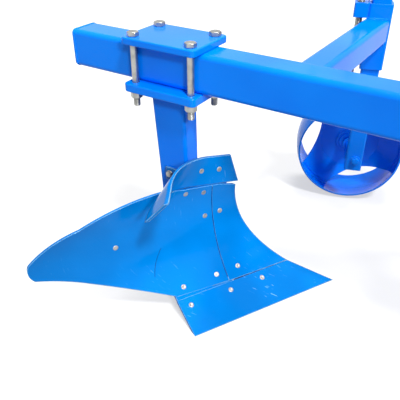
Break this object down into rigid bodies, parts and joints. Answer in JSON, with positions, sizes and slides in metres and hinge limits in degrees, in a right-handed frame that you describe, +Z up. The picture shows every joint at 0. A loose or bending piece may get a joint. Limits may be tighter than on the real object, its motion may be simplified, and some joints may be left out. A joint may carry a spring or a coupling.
{
  "type": "two-furrow mounted moldboard plough",
  "caption": "Mounted moldboard plough with curved bodies clamped under a diagonal box beam, a three-point headstock and a screw-set gauge wheel.",
  "frame": {"origin": "on the floor, at the middle of the plough's own box", "axes": "+X the way it is pulled, +Y the land side (left), +Z up"},
  "size_m": [1.9396, 1.5254, 1.128],
  "materials": {
    "frame_paint": "glossy blue enamel",
    "body_paint": "glossy blue enamel on ground steel",
    "zinc_steel": "zinc plated",
    "bare_steel": "turned, bare"
  },
  "bodies": {
    "frame": {"main_beam": "frame_paint", "beam_rear_cap": "frame_paint", "cross_tube": "frame_paint", "cross_tube_caps": "frame_paint", "frame_brace": "frame_paint", "mast_plates": "frame_paint", "mast_brace": "frame_paint", "drop_bracket_left": "frame_paint", "drop_bracket_right": "frame_paint", "lower_link_shaft": "zinc_steel", "rear_leg": "frame_paint", "rear_clamp_plate": "frame_paint", "rear_clamp_top_plate": "frame_paint", "rear_clamp_bolts": "zinc_steel", "rear_frog": "frame_paint", "rear_landside": "frame_paint", "rear_heel": "frame_paint", "rear_share": "body_paint", "rear_shin": "body_paint", "rear_mouldboard": "body_paint", "rear_wing_stay": "frame_paint", "rear_trash_board": "body_paint", "rear_trash_strap": "frame_paint", "rear_trash_bracket": "frame_paint", "front_leg": "frame_paint", "front_clamp_plate": "frame_paint", "front_clamp_top_plate": "frame_paint", "front_clamp_bolts": "zinc_steel", "front_frog": "frame_paint", "front_landside": "frame_paint", "front_heel": "frame_paint", "front_share": "body_paint", "front_shin": "body_paint", "front_mouldboard": "body_paint", "front_wing_stay": "frame_paint", "front_trash_board": "body_paint", "front_trash_strap": "frame_paint", "front_trash_bracket": "frame_paint", "stem_sleeve": "frame_paint", "wheel_arm": "frame_paint", "screw_nut": "frame_paint"},
    "wheel_leg": {"wheel_stem": "frame_paint", "stem_cap": "frame_paint", "depth_screw": "zinc_steel", "depth_crank": "frame_paint", "stub_axle": "bare_steel"},
    "gauge_wheel": {"wheel_rim": "frame_paint", "wheel_hub": "frame_paint"}
  },
  "joints": [
    {"name": "wheel_height", "type": "slide", "parent": "frame", "child": "wheel_leg", "axis": [0, 0, 1], "range_m": [0, 0.22]},
    {"name": "wheel_spin", "type": "hinge", "parent": "wheel_leg", "child": "gauge_wheel", "pos_m": [-0.08817, 0.6527, 0.211], "axis": [0, 1, 0], "continuous": true}
  ]
}
